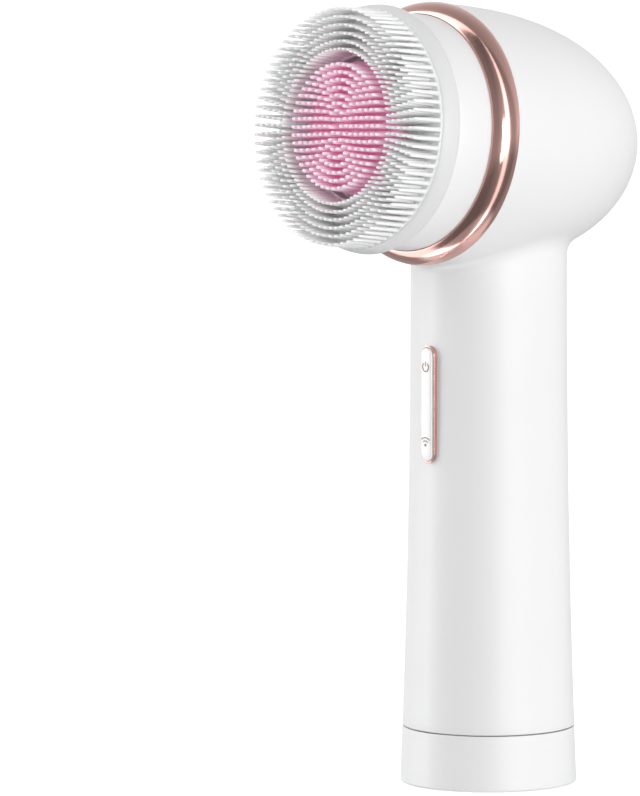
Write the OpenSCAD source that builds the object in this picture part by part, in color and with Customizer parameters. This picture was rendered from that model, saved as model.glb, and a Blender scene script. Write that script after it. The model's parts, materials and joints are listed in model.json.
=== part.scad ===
// Facial cleansing brush: handle, egg-shaped head and a brush head whose
// outer bristle ring and inner hub turn against each other.
// Handle axis is +Z with the flat end at z = 0; the head looks along -Y, tilted up a little.
// "s" is the distance along the head's own axis, counted forward from the handle axis.

/* [Handle] */
// Outer radius of the handle where its taper ends
handle_r = 18.85; // [18.6:0.05:19.5]
// Outer radius of the flat end that it stands on
base_r = 21.25; // [20.5:0.05:23]
// Height at which the taper ends
taper_h = 120; // [110:1:125]
// Height of the seam between base cap and casing
seam_z = 13.5; // [12.5:0.1:14.5]
// Wall thickness of casing and base cap
wall = 2.2; // [2:0.05:2.3]

/* [Head] */
// Height at which the head's axis crosses the handle's axis
head_z = 156; // [150:1:165]
// Upward tilt of the head's axis in degrees
head_tilt = 8; // [4:0.5:10]
// Largest radius of the head, at its front rim
bulb_r = 31.5; // [31.3:0.1:33]
// Length of the egg shape behind its front rim
bulb_len = 60; // [58:1:64]
// Fullness of the egg shape: 2 is an ellipse, and more is rounder at the shoulders
bulb_fullness = 2.4; // [2:0.1:2.6]
// Position of the front rim along the head's axis
rim_s = 19; // [18.5:0.1:19.2]

/* [Brush head] */
// Radius of the outer brush disc
disc_r = 30; // [29:0.1:31]
// Radius of the opening in the outer disc that the hub sits in
disc_hole_r = 17.5; // [17:0.1:18.5]
// Radius of the hub
hub_r = 16; // [15.5:0.1:16.4]
// Position of the bristle tips along the head's axis
tip_s = 50.5; // [48:0.5:52]

/* [Button] */
// Height of the button's middle
button_z = 93.2; // [85:0.2:97]
// Length of the button's frame
button_len = 28.4; // [26:0.2:30]
// Width of the button's frame
button_w = 4.7; // [4.7:0.1:5.2]
// Distance of the button's face from the handle's axis
button_face = 20.5; // [20.2:0.05:20.8]

/* [Gears] */
// Tooth module of every gear
gear_module = 0.5; // [0.46:0.01:0.52]
// Backlash: thickness taken off each tooth
tooth_thin = 0.06; // [0.04:0.01:0.1]
// Radial play of a shaft in its bush
running_play = 0.05; // [0.03:0.01:0.08]

/* [Hidden] */
$fn = 64;
eps = 0.5;            // overrun of every cut

// Colours
casing_white = [0.94, 0.94, 0.95];
rose_gold = [0.78, 0.56, 0.52];
bristle_white = [0.88, 0.88, 0.9];
bristle_pink = [0.96, 0.68, 0.8];
steel = [0.72, 0.73, 0.75];
bronze = [0.72, 0.55, 0.3];
gear_nylon = [0.86, 0.84, 0.78];
frame_grey = [0.35, 0.36, 0.38];
seal_black = [0.12, 0.12, 0.13];
board_green = [0.1, 0.35, 0.2];
cell_blue = [0.2, 0.35, 0.6];
copper = [0.75, 0.42, 0.25];

// Casing
seam_gap = 0.25;
edge_r = 1;           // rounding of the standing edge
floor_t = 2.5;        // thickness of the base cap's floor
spigot_top = 20;
spigot_r = 18.1;
spigot_bore = 16.4;
seal_groove = [16.2, 17.8];          // heights between which the spigot's groove runs
seal_cord = [17.65, 0.65];           // ring radius and cord radius of the base seal
post_r = 1.6;
post_ring = 14.2;     // circle that the base cap's posts stand on
chassis_z = 20.3;
chassis_r = [16.2, 14.9];            // outer and inner radius of the chassis tube
chassis_top = 110;
cell_y = 3;                          // the cell lies this far behind the handle's axis
coil_r = [12, 5.5];                  // outer and inner radius of the charging coil
coil_t = 1.9;
neck_top = head_z - 16;

// Trim ring and collar
ring_r = 31.75;
ring_front_s = 25.4;
ring_back_s = 17;      // rear end of the ring's lip inside the casing
ring_nose_r = 1.6;     // rounding where the ring turns forward
collar_r = 28.45;
collar_nose_r = 27.4;
collar_front_s = 35.5;
spigot_back_s = 15;
collar_seal_cord = [28.86, 0.37];    // ring radius and cord radius
collar_seal_s = 16;

// Gear train: tooth counts and the planes that the gears lie in
pinion_n = 12;
wheel_n = 36;
sun_n = 18;
idler_n = 15;
ring_n = 48;
pressure_angle = 25;
addendum = 0.8 * gear_module;
dedendum = 1.05 * gear_module;
compound_dist = (pinion_n + wheel_n) * gear_module / 2;
idler_dist = (sun_n + idler_n) * gear_module / 2;
compound_dir = 90;
idler_dirs = [90, 210, 330];
first_plane = [6.4, 8.8];
second_plane = [9.3, 12];
idler_plane = [15.9, 19.5];
case_back = [3, 5];
plate = [12.8, 14.8];
case_r = 25.9;
case_bore = 24.6;
case_front_s = 23.8;
pillar_ring = 21.5;
pillar_dirs = [30, 150, 270];
compound_pin_r = 1;
idler_pin_r = 0.8;

// Shafts
motor_shaft_r = 1;
hub_shaft_r = 2.5;
hex_play = 0.06;
hub_hex = [38.4, 42.4];
hub_hex_r = 2.45;     // to the corners
drive_r = 6.45;
drive_bore = 3.7;
drive_web = [20.2, 21.8];
drive_hex = [36, 38.3];
drive_cup_r = 14.4;
bearing_r = 8.5;
boss_r = 10.5;
boss_back_s = 24.2;

// Brush head
disc_back_s = 36.6;
disc_web_s = 39.3;    // front face of the outer disc's web
disc_front_s = 41.4;
pad_front_s = 42.2;
disc_edge_r = 1.2;
hub_back_s = 40.3;
hub_disc_s = 41.8;
hub_pad_s = 43.6;
bristle_inset = 0.6;  // from a pad's rim to its first bristles

// Motor
motor_r = 10.5;
motor_back_s = -22;
motor_wall = 0.7;
rotor = [-15, -2];    // rear and front of the rotor's core and of the magnets round it
motor_front_s = 2.9;
motor_boss_r = 3;
motor_screw_x = 6.5;

// Wires, from the motor's terminals down to the plug at the board's top
lead_r = 0.55;
lead_route = [
  [5, 25.6, 150.4], [5, 24.5, 146], [4.8, 22, 141], [4.4, 18, 135], [4, 13.5, 129.5],
  [3.5, 8, 126], [3, 2, 124], [2.6, -4, 122.5], [2.3, -8, 120], [2, -9.5, 117]
];

// Button
bezel_back = 15.1;
flange = [7.8, 31.8];          // width and length of the hidden flange
flange_front = 16.1;
bezel_front = 19.9;
bezel_opening = [3.95, 27.85];
plate_size = [3.7, 27.5];
plate_back = 19;
pin_depth = 18.2;              // distance of the rocker's pin from the handle's axis
pin_r = 0.5;
switch_reach = 10;             // from the rocker's middle to each switch
board = [22, 1.2, 97.7];
board_back = 11;
board_screw_z = [22.3, button_z];
board_screw_r = 1;

// Radius of the handle's outside at height z
function handle_radius(z) =
  handle_r + (base_r - handle_r) * pow(max(0, 1 - z / taper_h), 2);

// Points of an arc around (x, y) from one angle to another
function arc(x, y, r, from, to, steps = 6) =
  [for (i = [0:steps]) let (a = from + (to - from) * i / steps) [x + r * cos(a), y + r * sin(a)]];

// Half section of the egg shape, shrunk by a wall, open or flat at its front
function egg_section(inset, front, steps = 26) = concat(
  [[0, front], [bulb_r - inset, front]],
  [for (i = [0:steps]) let (a = 90 * i / steps)
    [(bulb_r - inset) * cos(a), rim_s - (bulb_len - inset) * pow(sin(a), 2 / bulb_fullness)]]
);

// Half section of the handle, shrunk by a wall, between two heights
function handle_section(inset, low, high, steps = 8) = concat(
  [[0, high], [0, low]],
  [for (i = [0:steps]) let (z = low + (taper_h - low) * i / steps) [handle_radius(z) - inset, z]],
  [[handle_r - inset, high]]
);

// Involute of a circle: polar angle in degrees at radius r
function involute(base, r) = let (t = sqrt(max(0, pow(r / base, 2) - 1))) t * 180 / PI - atan(t);

// Outline of n teeth, one of them centred on angle 0
function gear_outline(n, out, into, thin, steps = 2) =
  let (
    pitch_r = n * gear_module / 2,
    base = pitch_r * cos(pressure_angle),
    root = pitch_r - into,
    tip = pitch_r + out,
    start = max(base, root),
    half_pitch = 90 / n - thin / 2 / pitch_r * 180 / PI + involute(base, pitch_r),
    flank = [for (i = [0:steps]) let (r = start + (tip - start) * i / steps)
      [r, half_pitch - involute(base, r)]],
    foot = start > root + 0.01 ? [[root, flank[0][1]]] : [],
    side = concat(foot, flank),
    last = len(side) - 1
  )
  [for (k = [0:n - 1], j = [0:2 * last + 1])
    let (
      point = j <= last ? [side[j][0], -side[j][1]] : side[2 * last + 1 - j],
      a = 360 * k / n + point[1]
    )
    point[0] * [cos(a), sin(a)]];

// Turn of gear b that meshes with gear a, where b lies in direction dir from a
function mesh_turn(dir, n_a, turn_a, n_b) =
  dir + 180 - 180 / n_b + (dir - turn_a) * n_a / n_b;

sun_turn = 0;
idler_turns = [for (dir = idler_dirs) mesh_turn(dir, sun_n, sun_turn, idler_n)];
ring_turn = idler_dirs[0] - (idler_dirs[0] - idler_turns[0]) * idler_n / ring_n;
hub_gear_turn = 0;
small_turn = mesh_turn(compound_dir, wheel_n, hub_gear_turn, pinion_n);
big_turn = 0;
pinion_turn = mesh_turn(compound_dir + 180, wheel_n, big_turn, pinion_n);

// Places its children in the head's own frame, with +Z forward along its axis
module on_head() {
  translate([0, 0, head_z]) rotate([90 - head_tilt, 0, 0]) children();
}

// Places its children on the handle's front, with +Z pointing outward
module on_front(depth = 0, up = 0) {
  translate([0, -depth, button_z + up]) rotate([90, 0, 0]) children();
}

module rod(r, from, to) {
  translate([0, 0, from]) cylinder(h = to - from, r = r);
}

module pipe(r_out, r_in, from, to) {
  difference() {
    rod(r_out, from, to);
    rod(r_in, from - eps, to + eps);
  }
}

module hex_rod(r, from, to) {
  translate([0, 0, from]) cylinder(h = to - from, r = r, $fn = 6);
}

module polar(dir, dist) {
  rotate([0, 0, dir]) translate([dist, 0, 0]) children();
}

module spur_gear(n, turn, span, bore) {
  difference() {
    translate([0, 0, span[0]]) rotate([0, 0, turn]) linear_extrude(span[1] - span[0])
      polygon(gear_outline(n, addendum, dedendum, tooth_thin));
    rod(bore, span[0] - eps, span[1] + eps);
  }
}

module ring_of_cord(r, cord_r, z) {
  translate([0, 0, z]) rotate_extrude() translate([r, 0]) circle(r = cord_r);
}

// Bar with round ends, drawn upright
module bar(width, length) {
  for (end = [-1, 1]) translate([0, end * (length - width) / 2]) circle(r = width / 2);
  square([width, length - width], center = true);
}

module front_bar(width, length, from, to) {
  on_front(from) linear_extrude(to - from) bar(width, length);
}

// Screw with a flat round head, pointing down from z = 0
module screw(shank_r, length, head_r, head_h) {
  rod(shank_r, -length, 0);
  rod(head_r, 0, head_h);
}

module cross_pin(r, length) {
  translate([0, -pin_depth, button_z]) rotate([0, 90, 0]) cylinder(h = length, r = r, center = true);
}

module main_shell() {
  low = seam_z + seam_gap;
  color(casing_white) difference() {
    union() {
      on_head() rotate_extrude() polygon(egg_section(0, rim_s));
      rotate_extrude() polygon(handle_section(0, low, neck_top));
    }
    on_head() rotate_extrude() polygon(egg_section(wall, rim_s + eps));
    rotate_extrude() polygon(handle_section(wall, low - eps, neck_top));
    front_bar(button_w + 0.1, button_len + 0.1, flange_front - 1, button_face + 1);
  }
}

module base_cap() {
  groove_r = spigot_r - 1.1;
  color(casing_white) {
    rotate_extrude() polygon(concat(
      [[0, 0]],
      arc(base_r - edge_r, edge_r, edge_r, -90, 0),
      [
        [handle_radius(seam_z / 2), seam_z / 2],
        [handle_radius(seam_z), seam_z],
        [spigot_r, seam_z],
        [spigot_r, seal_groove[0]],
        [groove_r, seal_groove[0]],
        [groove_r, seal_groove[1]],
        [spigot_r, seal_groove[1]],
        [spigot_r, spigot_top],
        [spigot_bore, spigot_top],
        [spigot_bore, floor_t],
        [0, floor_t]
      ]
    ));
    for (dir = [90, 210, 330]) polar(dir, post_ring) rod(post_r, floor_t, chassis_z);
  }
}

module base_seal() {
  color(seal_black) ring_of_cord(seal_cord[0], seal_cord[1], (seal_groove[0] + seal_groove[1]) / 2);
}

module trim_ring() {
  seat_r = bulb_r - wall - 0.3;
  bore = collar_r + 0.05;
  nose_s = rim_s + 3.3;
  color(rose_gold) on_head() rotate_extrude() polygon(concat(
    [[bore, ring_back_s], [seat_r, ring_back_s], [seat_r, rim_s], [bulb_r, rim_s], [ring_r, rim_s + 1]],
    arc(ring_r - ring_nose_r, nose_s, ring_nose_r, 0, 62),
    [[bore + 0.25, ring_front_s], [bore, ring_front_s]]
  ));
}

module front_collar() {
  nose_r = 0.9;
  back = collar_front_s - 2.1;
  color(casing_white) on_head() rotate_extrude() polygon(concat(
    [[collar_r, spigot_back_s], [collar_r, ring_front_s]],
    arc(collar_nose_r - nose_r, collar_front_s - nose_r, nose_r, 0, 90),
    [
      [drive_r + 0.15, collar_front_s],
      [drive_r + 0.15, back],
      [bearing_r, back],
      [bearing_r, boss_back_s],
      [boss_r, boss_back_s],
      [boss_r, back],
      [collar_nose_r - 2.6, back],
      [collar_r - 2.25, ring_front_s],
      [collar_r - 2.25, spigot_back_s]
    ]
  ));
}

module collar_seal() {
  color(seal_black) on_head() ring_of_cord(collar_seal_cord[0], collar_seal_cord[1], collar_seal_s);
}

module button_bezel() {
  color(rose_gold) difference() {
    union() {
      front_bar(button_w, button_len, bezel_back, bezel_front);
      front_bar(flange[0], flange[1], bezel_back, flange_front);
    }
    front_bar(bezel_opening[0], bezel_opening[1], bezel_back - 1, bezel_front + 1);
    cross_pin(pin_r, button_w - 0.2);
  }
}

module button_pin() {
  color(steel) cross_pin(pin_r, button_w - 0.2);
}

module button_plate() {
  lug = [2.6, 3];
  lug_back = pin_depth - 1.1;
  post_back = plate_back - 2.05;
  color(casing_white) difference() {
    union() {
      front_bar(plate_size[0], plate_size[1], plate_back, button_face);
      on_front(lug_back) linear_extrude(plate_back - lug_back) square(lug, center = true);
      for (up = [-switch_reach, switch_reach]) on_front(post_back, up) rod(0.9, 0, plate_back - post_back);
    }
    cross_pin(pin_r + running_play, button_w);
  }
}

module button_membrane() {
  color([0.8, 0.8, 0.82]) {
    front_bar(flange[0] - 0.2, flange[1] - 0.2, bezel_back - 0.6, bezel_back);
    for (up = [-switch_reach, switch_reach]) on_front(bezel_back, up) rod(1.5, 0, 1.4);
  }
}

module tact_switches() {
  color(frame_grey) for (up = [-switch_reach, switch_reach]) on_front(board_back + board[1], up) {
    translate([0, 0, 0.85]) cube([4.5, 4.5, 1.7], center = true);
    rod(1.1, 1.7, 2.25);
  }
}

module circuit_board() {
  // Each chip or plug: left edge, foot, width, height, thickness
  chips = [[-3.5, 62, 7, 7, 1.2], [-7, 44, 5, 4, 1.1], [2, 43, 5, 5, 2.4], [-4.5, 111, 9, 5.5, 3]];
  color(board_green) difference() {
    translate([-board[0] / 2, -board_back - board[1], chassis_z]) cube([board[0], board[1], board[2]]);
    for (z = board_screw_z) on_front(board_back - 1, z - button_z) rod(board_screw_r + 0.1, 0, 3);
  }
  color(frame_grey) for (c = chips) translate([c[0], -board_back, c[1]]) cube([c[2], c[4], c[3]]);
}

module board_screws() {
  color(steel) for (z = board_screw_z) {
    on_front(board_back + board[1], z - button_z) screw(board_screw_r, 5, 1.8, 1.1);
  }
}

module chassis() {
  shelf = [button_z - 2, button_z + 2];
  lead_hole = [12, 2];         // distance behind the axis, and radius
  color(frame_grey) difference() {
    union() {
      pipe(chassis_r[0], chassis_r[1], chassis_z, chassis_top);
      rod(chassis_r[0] - 0.5, chassis_z, chassis_z + 4);
      rod(chassis_r[0] - 0.5, shelf[0], shelf[1]);
    }
    translate([-20, -board_back - 20, 0]) cube([40, 20, 200]);
    for (z = board_screw_z) on_front(board_back - 3.8, z - button_z) rod(board_screw_r, 0, 4.8);
    translate([0, lead_hole[0], 0]) rod(lead_hole[1], shelf[0] - 1, shelf[1] + 1);
  }
}

module battery() {
  cell = [9.1, 89.5];          // radius, and height of the can's top
  color(cell_blue) translate([0, cell_y, 0]) {
    rod(cell[0], chassis_z + 4.2, cell[1]);
    rod(3, cell[1], cell[1] + 1);
  }
}

module charge_coil() {
  color(copper) pipe(coil_r[0], coil_r[1], floor_t + 0.1, floor_t + coil_t);
}

module coil_shield() {
  color(frame_grey) rod(coil_r[0] + 0.2, floor_t + coil_t, floor_t + coil_t + 0.8);
}

module motor_can() {
  face_t = 1;
  color(steel) on_head() difference() {
    union() {
      rod(motor_r, motor_back_s, motor_front_s);
      rod(motor_boss_r, motor_front_s, case_back[1] - 0.4);
    }
    rod(motor_r - motor_wall, motor_back_s - eps, motor_front_s - face_t);
    rod(motor_shaft_r + running_play, 0, case_back[1] + eps);
    for (x = [-motor_screw_x, motor_screw_x]) translate([x, 0, 0]) rod(0.8, 0, case_back[1]);
  }
}

module motor_magnets() {
  color(seal_black) on_head() difference() {
    pipe(motor_r - motor_wall, motor_r - motor_wall - 1.1, rotor[0], rotor[1]);
    translate([-motor_r, -2, rotor[0] - eps]) cube([2 * motor_r, 4, rotor[1] - rotor[0] + 2 * eps]);
  }
}

module motor_end_cap() {
  color(frame_grey) on_head() difference() {
    union() {
      rod(motor_r, motor_back_s - 2, motor_back_s);
      rod(motor_r - motor_wall, motor_back_s, motor_back_s + 2);
    }
    rod(motor_shaft_r + running_play, motor_back_s - 1, motor_back_s + 3);
  }
  color(copper) on_head() for (x = [-1, 1]) {
    translate([x * 5 - 1, -0.3, motor_back_s - 4.5]) cube([2, 0.6, 2.5]);
  }
}

module motor_screws() {
  color(steel) on_head() for (x = [-motor_screw_x, motor_screw_x]) {
    translate([x, 0, case_back[1]]) screw(0.8, 2.9, 1.6, 1);
  }
}

// Tube along a route that lies nearly in the YZ plane
module wire(route, r, sides = 8) {
  last = len(route) - 1;
  points = [for (i = [0:last]) let (
      run = route[min(i + 1, last)] - route[max(i - 1, 0)],
      across = cross([1, 0, 0], run / norm(run))
    )
    for (a = [0:360 / sides:359]) route[i] + r * cos(a) * [1, 0, 0] + r * sin(a) * across];
  walls = [for (i = [0:last - 1], j = [0:sides - 1]) let (k = (j + 1) % sides)
    [i * sides + j, (i + 1) * sides + j, (i + 1) * sides + k, i * sides + k]];
  ends = [[for (j = [0:sides - 1]) j], [for (j = [sides - 1:-1:0]) last * sides + j]];
  polyhedron(points, concat(walls, ends));
}

module motor_leads() {
  color(seal_black) for (side = [-1, 1]) wire([for (p = lead_route) [side * p[0], p[1], p[2]]], lead_r);
}

module motor_rotor() {
  slot_w = 1.6;
  color(steel) on_head() difference() {
    union() {
      rod(8.4, rotor[0], rotor[1]);
      rod(2.6, rotor[0] - 4, rotor[0]);
    }
    rod(motor_shaft_r, rotor[0] - 5, rotor[1] + 2);
    for (dir = [0, 120, 240]) rotate([0, 0, dir]) {
      translate([3.5, -slot_w / 2, rotor[0] - eps]) cube([6, slot_w, rotor[1] - rotor[0] + 2 * eps]);
    }
  }
}

module motor_shaft() {
  color(steel) on_head() rod(motor_shaft_r, motor_back_s - 0.8, first_plane[1] - 0.2);
}

module motor_pinion() {
  color(gear_nylon) on_head() spur_gear(pinion_n, pinion_turn, first_plane, motor_shaft_r);
}

module gearbox_case() {
  color(frame_grey) on_head() difference() {
    union() {
      rod(case_r, case_back[0], case_back[1]);
      pipe(case_r, case_bore, case_back[1], case_front_s);
      for (dir = pillar_dirs) polar(dir, pillar_ring) rod(2.2, case_back[1], plate[0]);
    }
    rod(motor_boss_r, case_back[0] - eps, case_back[1] + eps);
    polar(compound_dir, compound_dist) rod(compound_pin_r, case_back[0] - eps, case_back[1] + eps);
    for (x = [-motor_screw_x, motor_screw_x]) {
      translate([x, 0, 0]) rod(0.8, case_back[0] - eps, case_back[1] + eps);
    }
    for (dir = pillar_dirs) polar(dir, pillar_ring) rod(0.8, plate[0] - 5, plate[0] + eps);
  }
}

module compound_pin() {
  color(steel) on_head() polar(compound_dir, compound_dist)
    rod(compound_pin_r, case_back[0], plate[1] - 0.2);
}

module compound_gear() {
  color(gear_nylon) on_head() rotate([0, 0, compound_dir]) translate([compound_dist, 0, 0])
    rotate([0, 0, -compound_dir]) {
      spur_gear(wheel_n, big_turn, first_plane, compound_pin_r + running_play);
      spur_gear(pinion_n, small_turn, [first_plane[1], second_plane[1]], compound_pin_r + running_play);
    }
}

module idler_plate() {
  color(frame_grey) on_head() difference() {
    rod(case_bore - 0.2, plate[0], plate[1]);
    rod(4, plate[0] - eps, plate[1] + eps);
    polar(compound_dir, compound_dist) rod(compound_pin_r, plate[0] - eps, plate[1] + eps);
    for (dir = idler_dirs) polar(dir, idler_dist) rod(idler_pin_r, plate[0] - eps, plate[1] + eps);
    for (dir = pillar_dirs) polar(dir, pillar_ring) rod(0.9, plate[0] - eps, plate[1] + eps);
  }
}

module plate_screws() {
  color(steel) on_head() for (dir = pillar_dirs) polar(dir, pillar_ring) {
    translate([0, 0, plate[1]]) screw(0.8, 6.5, 1.8, 1.2);
  }
}

module idler_pins() {
  color(steel) on_head() for (dir = idler_dirs) polar(dir, idler_dist) rod(idler_pin_r, plate[0], 19.9);
}

module idler_gear(i) {
  dir = idler_dirs[i - 1];
  color(gear_nylon) on_head() rotate([0, 0, dir]) translate([idler_dist, 0, 0]) rotate([0, 0, -dir])
    spur_gear(idler_n, idler_turns[i - 1], idler_plane, idler_pin_r + running_play);
}

module hub_bush() {
  color(bronze) on_head() difference() {
    union() {
      rod(4, plate[0], plate[1]);
      rod(5, plate[1], plate[1] + 0.5);
    }
    rod(hub_shaft_r + running_play, plate[0] - eps, plate[1] + 1);
  }
}

module hub_shaft() {
  color(steel) on_head() {
    rod(hub_shaft_r, first_plane[1] + 0.3, hub_hex[0]);
    hex_rod(hub_hex_r, hub_hex[0], hub_hex[1]);
  }
}

module hub_gear() {
  color(gear_nylon) on_head() spur_gear(wheel_n, hub_gear_turn, second_plane, hub_shaft_r);
}

module sun_gear() {
  span = [idler_plane[0] - 0.3, idler_plane[1] + 0.1];
  color(gear_nylon) on_head() spur_gear(sun_n, sun_turn, span, hub_shaft_r);
}

module outer_drive() {
  cup_back_s = idler_plane[0] - 0.5;
  color(gear_nylon) on_head() difference() {
    union() {
      rod(drive_cup_r, cup_back_s, drive_web[1]);
      rod(drive_r, drive_web[1], drive_hex[0]);
      hex_rod(drive_r, drive_hex[0], drive_hex[1]);
    }
    translate([0, 0, cup_back_s - eps]) rotate([0, 0, ring_turn])
      linear_extrude(drive_web[0] - cup_back_s + eps)
        polygon(gear_outline(ring_n, dedendum, addendum, -tooth_thin));
    rod(drive_bore, drive_web[0] - eps, drive_hex[1] + eps);
  }
}

module shaft_bushes() {
  color(bronze) on_head() for (back = [drive_web[1], drive_hex[0] - 4]) {
    pipe(drive_bore, hub_shaft_r + running_play, back, back + 4);
  }
}

module thrust_washer() {
  color(steel) on_head() pipe(9.5, drive_r + 0.15, drive_web[1] + 0.3, boss_back_s - 0.2);
}

module outer_bearing() {
  color(bronze) on_head()
    pipe(bearing_r, drive_r + running_play, boss_back_s, boss_back_s + 6.8);
}

module shaft_seal() {
  color(seal_black) on_head()
    pipe(bearing_r, drive_r + running_play, boss_back_s + 7, collar_front_s - 2.1);
}

module outer_carrier() {
  color(casing_white) on_head() difference() {
    rotate_extrude() polygon(concat(
      [[0, disc_back_s]],
      arc(disc_r - disc_edge_r, disc_back_s + disc_edge_r, disc_edge_r, -90, 0),
      arc(disc_r - disc_edge_r, disc_front_s - disc_edge_r, disc_edge_r, 0, 60),
      [[disc_r - disc_edge_r, disc_front_s], [disc_hole_r, disc_front_s]],
      [[disc_hole_r, disc_web_s], [0, disc_web_s]]
    ));
    hex_rod(drive_r + hex_play, disc_back_s - eps, disc_web_s + eps);
  }
}

module outer_bristles() {
  pad_r = disc_r - disc_edge_r;
  color(bristle_white) on_head() {
    pipe(pad_r, disc_hole_r, disc_front_s, pad_front_s);
    pipe(pad_r - bristle_inset / 4, disc_hole_r + bristle_inset, pad_front_s, tip_s);
  }
}

module hub_carrier() {
  sleeve_r = 4.4;
  color(bristle_pink) on_head() difference() {
    union() {
      rod(sleeve_r, hub_hex[0] + 0.3, hub_back_s);
      rod(hub_r - bristle_inset, hub_back_s, hub_disc_s);
      rod(sleeve_r, hub_disc_s, hub_disc_s + 1.3);
    }
    hex_rod(hub_hex_r + hex_play, hub_hex[0] - eps, hub_hex[1] + 0.2);
  }
}

module hub_bristles() {
  color(bristle_pink) on_head() {
    difference() {
      rod(hub_r, hub_back_s, hub_pad_s);
      rod(hub_r - bristle_inset, hub_back_s - eps, hub_disc_s);
      rod(4.4, hub_disc_s - eps, hub_disc_s + 1.3);
    }
    rod(hub_r - bristle_inset, hub_pad_s, tip_s);
  }
}

main_shell();
base_cap();
base_seal();
trim_ring();
front_collar();
collar_seal();
button_bezel();
button_pin();
button_membrane();
button_plate();
tact_switches();
circuit_board();
board_screws();
chassis();
battery();
charge_coil();
coil_shield();
motor_can();
motor_magnets();
motor_end_cap();
motor_screws();
motor_leads();
motor_rotor();
motor_shaft();
motor_pinion();
gearbox_case();
compound_pin();
compound_gear();
idler_plate();
plate_screws();
idler_pins();
idler_gear(1);  // idler_gear_1
idler_gear(2);  // idler_gear_2
idler_gear(3);  // idler_gear_3
hub_bush();
hub_shaft();
hub_gear();
sun_gear();
outer_drive();
shaft_bushes();
thrust_washer();
outer_bearing();
shaft_seal();
outer_carrier();
outer_bristles();
hub_carrier();
hub_bristles();
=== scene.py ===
"""Facial cleansing brush: the looks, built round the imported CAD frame.

Lengths are metres in the frame's own axes: +Z up the handle, -Y forward, the head tilted up.
The head's lathe-turned pieces are drawn as (radius, s) outlines, s counted forward along its axis.
"""
import json
import math

import bmesh
import bpy
import numpy as np
from mathutils import Matrix, Vector


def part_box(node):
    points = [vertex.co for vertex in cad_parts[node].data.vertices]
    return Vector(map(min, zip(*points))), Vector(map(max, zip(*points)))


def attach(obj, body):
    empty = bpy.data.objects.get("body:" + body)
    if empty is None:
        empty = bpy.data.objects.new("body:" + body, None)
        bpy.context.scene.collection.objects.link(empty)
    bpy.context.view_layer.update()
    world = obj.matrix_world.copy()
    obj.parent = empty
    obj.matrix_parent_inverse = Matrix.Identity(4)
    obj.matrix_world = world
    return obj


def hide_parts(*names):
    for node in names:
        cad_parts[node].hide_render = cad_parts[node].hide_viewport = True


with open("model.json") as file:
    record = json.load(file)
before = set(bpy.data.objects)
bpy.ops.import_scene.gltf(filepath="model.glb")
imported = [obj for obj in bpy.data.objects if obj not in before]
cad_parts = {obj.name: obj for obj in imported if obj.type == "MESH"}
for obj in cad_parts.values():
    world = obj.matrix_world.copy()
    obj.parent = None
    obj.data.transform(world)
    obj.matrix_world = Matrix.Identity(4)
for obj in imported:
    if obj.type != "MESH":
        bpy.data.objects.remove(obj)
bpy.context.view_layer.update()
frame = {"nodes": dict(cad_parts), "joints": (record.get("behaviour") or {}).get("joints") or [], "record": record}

MM = 0.001
BODY = "handle_and_head"
ROUND = 192               # columns round a turned piece
X, Y = Vector((1, 0, 0)), Vector((0, 1, 0))


# ---------------------------------------------------------------- the frame's own measures

def joint(name):
    return next(j for j in frame["joints"] if j["name"] == name)


def head_matrix():
    """The head's frame: local +Z forward along its axis, local +Y up, origin on the handle's axis."""
    spin = joint("outer_spin")
    forward = Vector(spin["axis"]).normalized()
    point = Vector(spin["pos_m"])
    origin = point - forward * (point.y / forward.y)
    up = forward.cross(X)
    return Matrix((
        (X.x, up.x, forward.x, origin.x),
        (X.y, up.y, forward.y, origin.y),
        (X.z, up.z, forward.z, origin.z),
        (0, 0, 0, 1),
    ))


HEAD = head_matrix()
TO_HEAD = np.array(HEAD.inverted())


def node_points(node):
    mesh = frame["nodes"][node].data
    points = np.empty(len(mesh.vertices) * 3)
    mesh.vertices.foreach_get("co", points)
    return points.reshape(-1, 3)


def along_head(node):
    """(rearmost s, foremost s, largest radius, smallest radius) of a node in the head's frame."""
    points = node_points(node) @ TO_HEAD[:3, :3].T + TO_HEAD[:3, 3]
    radius = np.hypot(points[:, 0], points[:, 1])
    return points[:, 2].min(), points[:, 2].max(), radius.max(), radius.min()


def button_middle():
    """Height of the button's middle, where the rocker's pin is."""
    low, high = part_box("button_bezel")
    return (low.z + high.z) / 2


EGG_BACK, RIM_S, _, _ = along_head("main_shell")
EGG_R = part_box("main_shell")[1].x
EGG_LEN = RIM_S - EGG_BACK
EGG_FULLNESS = 2.4        # 2 is an ellipse, and more is rounder at the shoulders
SEAM_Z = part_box("main_shell")[0].z
SEAM_LIP = 0.22 * MM      # rounding of the edges that meet at the base cap's seam
BASE_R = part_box("base_cap")[1].x
WAIST_R = 18.85 * MM
TAPER_TOP = 120 * MM      # height at which the handle's flare to its foot starts
NECK_BLEND = 2.2 * MM     # width of the blend between handle and egg
NECK_TOP = 140 * MM       # the handle ends here, inside the egg
SHELL_T = 2.1 * MM
BUTTON_L = 28.4 * MM      # the button frame's rim, outside
BUTTON_W = 4.7 * MM


# ---------------------------------------------------------------- mesh helpers

def mesh_object(name, points, faces, smooth=True):
    mesh = bpy.data.meshes.new(name)
    mesh.from_pydata([tuple(p) for p in points], [], [tuple(f) for f in faces])
    mesh.validate()
    mesh.update()
    obj = bpy.data.objects.new(name, mesh)
    bpy.context.scene.collection.objects.link(obj)
    if smooth:
        mesh.polygons.foreach_set("use_smooth", [True] * len(mesh.polygons))
    return obj


def even_normals(obj):
    """Weights the shading normals by face area, so flats stay flat beside small roundings."""
    weights = obj.modifiers.new("even_normals", "WEIGHTED_NORMAL")
    weights.mode = "FACE_AREA"
    weights.weight = 80
    weights.keep_sharp = True
    return obj


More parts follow.
